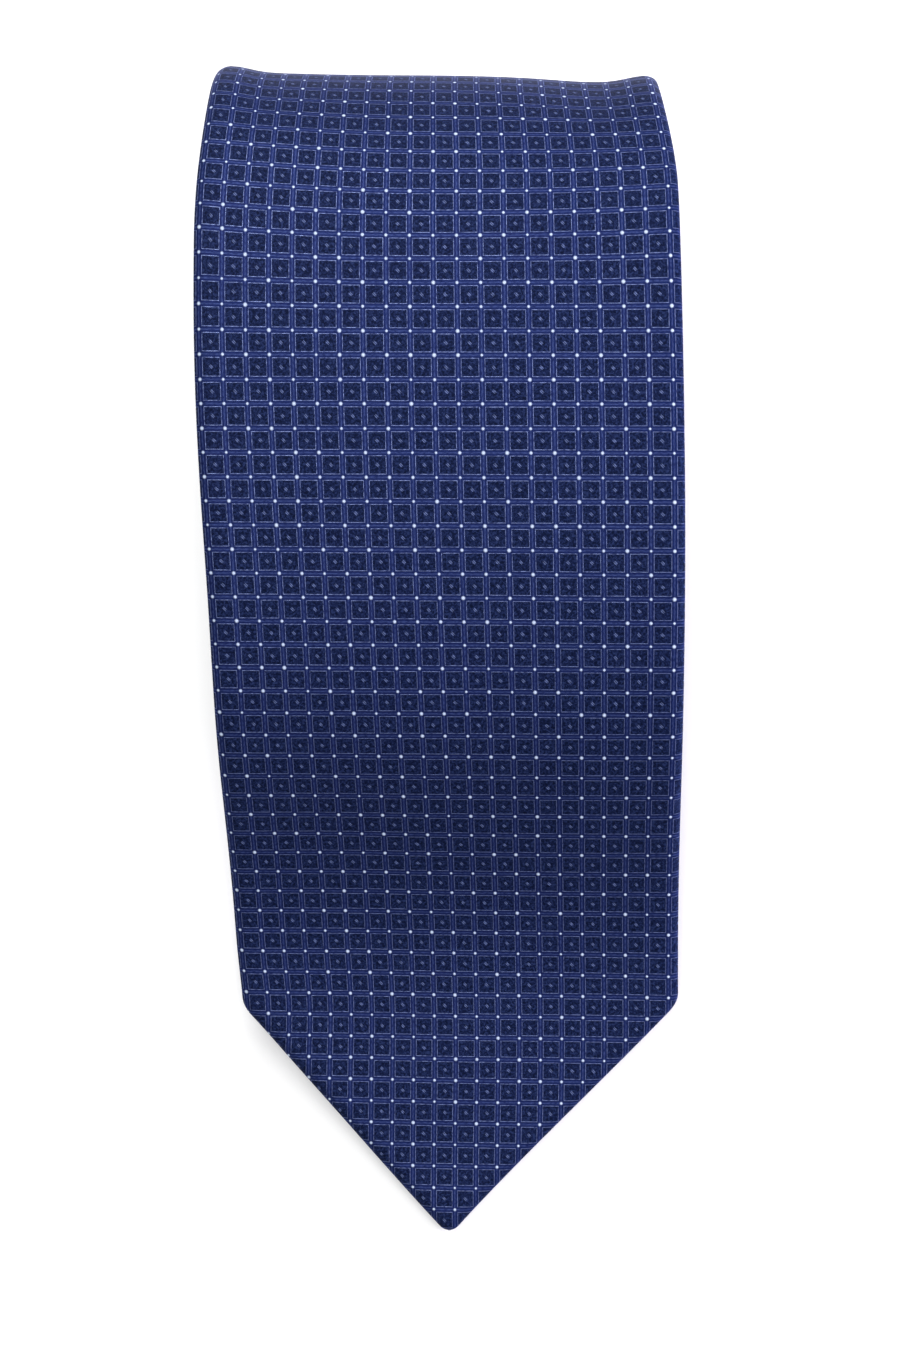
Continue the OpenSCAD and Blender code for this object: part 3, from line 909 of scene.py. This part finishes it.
# a double line: a wide one and a narrow one inside it
border = mask(calc("DIVIDE", inset, 5), [
    (0.0, 0), (0.28, 0), (0.30, 1), (0.36, 1), (0.38, 0), (0.46, 0), (0.47, 1), (0.49, 1), (0.5, 0),
])
weft = calc("SINE", times(along, 26.0))
warp = calc("SINE", times(plus(across, times(along, 0.35)), 20.0))
weave = calc("MULTIPLY_ADD", weft, 0.5, warp)
cloud = noise(vector(across, along), 1.2, 3.0)
satin_ground = ramp(cloud, [(0.3, linear(24, 29, 56)), (0.7, linear(34, 40, 72))])
face = mix_colour(border, satin_ground, linear(168, 176, 200))
set_inputs(shader, {"Base Color": face, "Roughness": 0.42, "Specular IOR Level": 0.4})
bump(shader, mix_colour(border, weave, grey(1.4)), 0.00004, 0.6)
label.data.materials.append(label_satin)

care_satin, tree, shader = new_material("white_care_tab")
across, along = cloth_place(tree)
rib = calc("SINE", times(across, 22.0))
cloud = noise(vector(across, along), 0.8, 3.0)
tone = ramp(cloud, [(0.3, linear(225, 225, 228)), (0.7, linear(243, 243, 245))])
set_inputs(shader, {"Base Color": tone, "Roughness": 0.5})
bump(shader, rib, 0.00003, 0.5)
care.data.materials.append(care_satin)
print("labels:", [tuple(round(v * 1000, 1) for v in p.dimensions) for p in (label, care)])

# %% [markdown]
# ## Hand sewing
#
# The sewing is all in one navy thread. A stitch is a short length of twisted thread that
# dives into the cloth at both ends. One is modelled, from a primitive whose middle is
# drawn up and whose ends are drawn in, and every other stitch is a copy of it, turned to
# cross its edge. A bar tack is a bundle of thread wound tightly over itself.

# %% One stitch, modelled at the origin
THREAD = 0.26  # thickness of the thread, and of the pattern stitch below
PATTERN_THREAD = 0.22


def new_stitch():
    """A bowed thread one unit long along X, standing up in +Z."""
    bpy.ops.object.select_all(action="DESELECT")
    bpy.ops.mesh.primitive_cylinder_add(
        vertices=8, radius=PATTERN_THREAD / 2, depth=1.0, end_fill_type="NGON",
        rotation=(0, math.pi / 2, 0))
    stitch = bpy.context.active_object
    bpy.ops.object.transform_apply(rotation=True)
    bpy.ops.object.mode_set(mode="EDIT")
    for cut in (-0.34, -0.17, 0, 0.17, 0.34):
        bpy.ops.mesh.select_all(action="SELECT")
        bpy.ops.mesh.bisect(plane_co=(cut, 0, 0), plane_no=(1, 0, 0))
    bpy.ops.object.mode_set(mode="OBJECT")
    for v in stitch.data.vertices:
        bow = 1 - (2 * v.co.x) ** 2
        thin = 0.55 + 0.45 * math.sqrt(max(bow, 0))
        v.co.y *= thin
        v.co.z = v.co.z * thin + 0.16 * bow - 0.05
    return stitch


def pattern_of(model):
    """The points and faces of a modelled pattern, which is then taken out of the scene."""
    points = np.array([v.co for v in model.data.vertices])
    faces = [tuple(p.vertices) for p in model.data.polygons]
    bpy.data.objects.remove(model)
    return points, faces


def copies(name, placed, faces):
    """One piece out of copies of a pattern, each given as its placed points."""
    size = len(placed[0])
    all_faces = [tuple(k * size + i for i in f) for k in range(len(placed)) for f in faces]
    mesh = bpy.data.meshes.new(name)
    mesh.from_pydata(np.concatenate(placed).tolist(), [], all_faces)
    piece = bpy.data.objects.new(name, mesh)
    scene.collection.objects.link(piece)
    face_outwards(piece)
    bpy.ops.object.shade_smooth()
    return piece


stitch_points, stitch_faces = pattern_of(new_stitch())


def laid_stitches(name, spots, length, depth):
    """Stitches at (s, x, turn) spots on the back, as one piece. Turn 0 lies along the tie."""
    lengthwise = stitch_points[:, 0] * length
    side, up = stitch_points[:, 1:].T * THREAD / PATTERN_THREAD
    placed = []
    for s0, x0, turn in spots:
        ds = lengthwise * math.cos(turn) - side * math.sin(turn)
        dx = lengthwise * math.sin(turn) + side * math.cos(turn)
        placed.append(place(s0 + ds, x0 + dx, depth + up))
    return copies(name, placed, stitch_faces)


def window_spots(apex, corner, tack):
    """Where the stitches cross the turned edges of a window: one every 3.1 mm on both sides."""
    way = 1 if tack > apex else -1
    spots = []
    for s in np.arange(min(apex, tack) + 3, max(apex, tack) - 3, 3.1):
        on_hem = abs(s - apex) < abs(corner - apex)
        turn = math.radians(50 if on_hem else 118)
        for side in (-1, 1):
            spots.append((float(s), side * (float(window(s)) - 0.1), side * way * turn))
    return spots


def side_spots(s0, length, shares, x):
    """Upright stitches down both sides of a piece that is sewn on."""
    return [(s0 + k * length, side * x, math.pi / 2) for side in (-1, 1) for k in shares]


tip_spots = window_spots(WINDOW_FROM, POINT, BAR_TACK_S)
tail_spots = window_spots(TIE_LENGTH - TAIL_WINDOW_FROM, TIE_LENGTH - TAIL_POINT, TAIL_TACK_S)
tip_stitches = laid_stitches("tip_stitches", tip_spots, 1.7, THICK - 0.02)
tail_stitches = laid_stitches("tail_stitches", tail_spots, 1.5, THICK - 0.02)
label_spots = side_spots(
    LABEL_S, LABEL_W, (0.08, 0.2, 0.32, 0.44, 0.56, 0.68, 0.8, 0.92), LABEL_HALF - 0.4)
label_stitches = laid_stitches("label_sewing", label_spots, 1.8, BACK + LABEL_T + 0.16)
keeper_spots = side_spots(
    KEEPER_S, KEEPER_W, (0.1, 0.23, 0.36, 0.5, 0.64, 0.77, 0.9), KEEPER_HALF - 0.2)
keeper_tacks = laid_stitches("keeper_sewing", keeper_spots, 2.2, BACK + 0.55)
print("stitches round the windows:", len(tip_spots), "on the blade,", len(tail_spots), "on the tail")


# %% Bar tacks
def bar_tack(name, s0, length, width):
    """Thread wound over itself across the seam: one wrap is modelled, and copied side by side."""
    ring_r, thread_r = 0.5, 0.17
    bpy.ops.object.select_all(action="DESELECT")
    bpy.ops.mesh.primitive_torus_add(
        major_segments=14, minor_segments=6, major_radius=ring_r, minor_radius=thread_r)
    ring, ring_faces = pattern_of(bpy.context.active_object)
    count = int(length / 0.27)
    placed = []
    for k in range(count):
        x0 = -length / 2 + (k + 0.5) * length / count
        swell = 1 + 0.12 * math.sin(k * 2.3)
        ds = ring[:, 0] * width / (2 * (ring_r + thread_r)) * swell * 1.2
        up = ring[:, 1] * 0.375 * swell
        dx = ring[:, 2] * 0.85 + 0.25 * ring[:, 0]
        placed.append(place(s0 + ds, x0 + dx, BACK + 0.28 + up))
    return copies(name, placed, ring_faces)


blade_tack = bar_tack("blade_tack", BAR_TACK_S, 8, 1.4)
tail_tack = bar_tack("tail_tack", TAIL_TACK_S, 8, 1.4)
print("bar tack:", round(blade_tack.dimensions.x * 1000, 1), "mm across the seam")

# %% [markdown]
# One long thread closes the back from tack to tack. It runs in the slot between the two
# turned edges and catches first one and then the other, so it zigzags. It is drawn as a
# tube round a line of points laid on the same curve as everything else.

# %% Slip stitch, panel seams and the join in the wool
def thread_along(name, a, b):
    """A zigzag thread in the slot between the turned edges, with a stitch every 2.6 mm."""
    stitches = int((b - a) / 2.6)
    n = 4 * stitches + 1
    s = np.linspace(a, b, n)
    swing = 0.34 * np.clip(1.6 * np.sin(np.linspace(0, stitches * math.pi, n)), -1, 1)
    depth = THICK - 0.17 + 0.05 * np.cos(np.linspace(0, 2 * stitches * math.pi, n))
    middle = place(s, swing, depth)
    ahead = np.gradient(middle, axis=0)
    ahead /= np.linalg.norm(ahead, axis=1)[:, None]
    side = np.cross(ahead, [0.02, 0.9, 0.4])
    side /= np.linalg.norm(side, axis=1)[:, None]
    top = np.cross(side, ahead)
    turn = np.linspace(0, 2 * math.pi, 7)[:-1, None]
    around = np.cos(turn) * side[:, None] + np.sin(turn) * top[:, None]
    rings = middle[:, None] + THREAD / 2 * MM * around
    piece = grid_mesh(name, rings, ring=True, caps=True)
    face_outwards(piece)
    bpy.ops.object.shade_smooth()
    return piece


slip_front = thread_along("slip_front", BAR_TACK_S + 0.4, SPLIT_S - 0.1)
slip_rear = thread_along("slip_rear", SPLIT_S + 0.1, TAIL_TACK_S - 0.4)


def seam_band(name, s0):
    """The groove where two panels meet: a narrow band just below the silk's face, sewn through."""
    s = s0 + np.array([-0.9, -0.45, 0, 0.45, 0.9])[:, None]
    x, depth, cloth_x, cloth_s = mirrored(*section(s, 9, 5))
    # drawn in towards the middle of the tie, and in from both folded edges
    depth = THICK / 2 + (depth - THICK / 2) * 0.78
    w = half_width(s)
    points = place(s, x * (w - 0.3) / w, depth)
    piece = grid_mesh(name, points, np.stack([cloth_x, cloth_s], axis=-1))
    thicken(piece, 0.15)
    return piece


blade_neck_seam = seam_band("blade_neck_stitching", NECK_SEAM_S)
neck_tail_seam = seam_band("neck_tail_stitching", TAIL_SEAM_S)
zigzag = []
for k in range(28):
    way = 1 if k % 2 else -1
    zigzag.append((JOIN_S + way * 0.5, k - 13.5, math.radians(way * 60)))
wool_join = laid_stitches("wool_join", zigzag, 2.2, WOOL_BOTTOM)

thread_finish, tree, shader = new_material("navy_thread")
coordinates = tree.nodes.new("ShaderNodeTexCoord")
ply = noise(coordinates.outputs["Object"], 9000.0, 2.0)
tone = ramp(ply, [(0.35, linear(30, 38, 84)), (0.65, linear(58, 70, 128))])
set_inputs(shader, {"Base Color": tone, "Roughness": 0.45, "Specular IOR Level": 0.4})
bump(shader, ply, 0.00005, 0.6)
sewing = [tip_stitches, tail_stitches, label_stitches, keeper_tacks, blade_tack, tail_tack,
          slip_front, slip_rear, blade_neck_seam, neck_tail_seam, wool_join]
for piece in sewing:
    piece.data.materials.append(thread_finish)
print("sewing pieces:", {p.name: len(p.data.polygons) for p in sewing})

# %% [markdown]
# ## Which body each piece rides on
#
# Lifting the blade bends the tie across a line just behind the crest. The front panel,
# its wool and its thread cross that line, so they are attached to neither body and keep
# their place in the scene. All that lies further forward follows the blade, and the rest
# stays with the roll.

# %% Bodies and nodes
BLENDED = {
    blade_front: "blade_front_shell", wool_front: "blade_front_interlining",
    slip_front: "slip_stitch_front",
}
ON_BLADE = {
    tip_lining: "blade_tipping", tip_stitches: "blade_tipping_stitches", keeper: "keeper_loop",
    keeper_tacks: "keeper_tacks", label: "woven_label", label_stitches: "label_stitches",
    care: "care_label", blade_tack: "blade_bar_tack",
}
ON_ROLL = {
    blade_rear: "blade_rear_shell", neck: "neck_shell", tail: "tail_shell",
    wool_rear: "blade_rear_interlining", wool_tail: "tail_interlining",
    wool_join: "interlining_join", tail_lining: "tail_tipping",
    tail_stitches: "tail_tipping_stitches", tail_tack: "tail_bar_tack",
    slip_rear: "slip_stitch_rear", blade_neck_seam: "blade_neck_seam",
    neck_tail_seam: "neck_tail_seam",
}
for piece, node in BLENDED.items():
    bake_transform(piece)
    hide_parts(node)
for piece, node in ON_BLADE.items():
    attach(piece, "blade")
    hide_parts(node)
for piece, node in ON_ROLL.items():
    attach(piece, "roll")
    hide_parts(node)

print("pieces:", len(BLENDED) + len(ON_BLADE) + len(ON_ROLL))
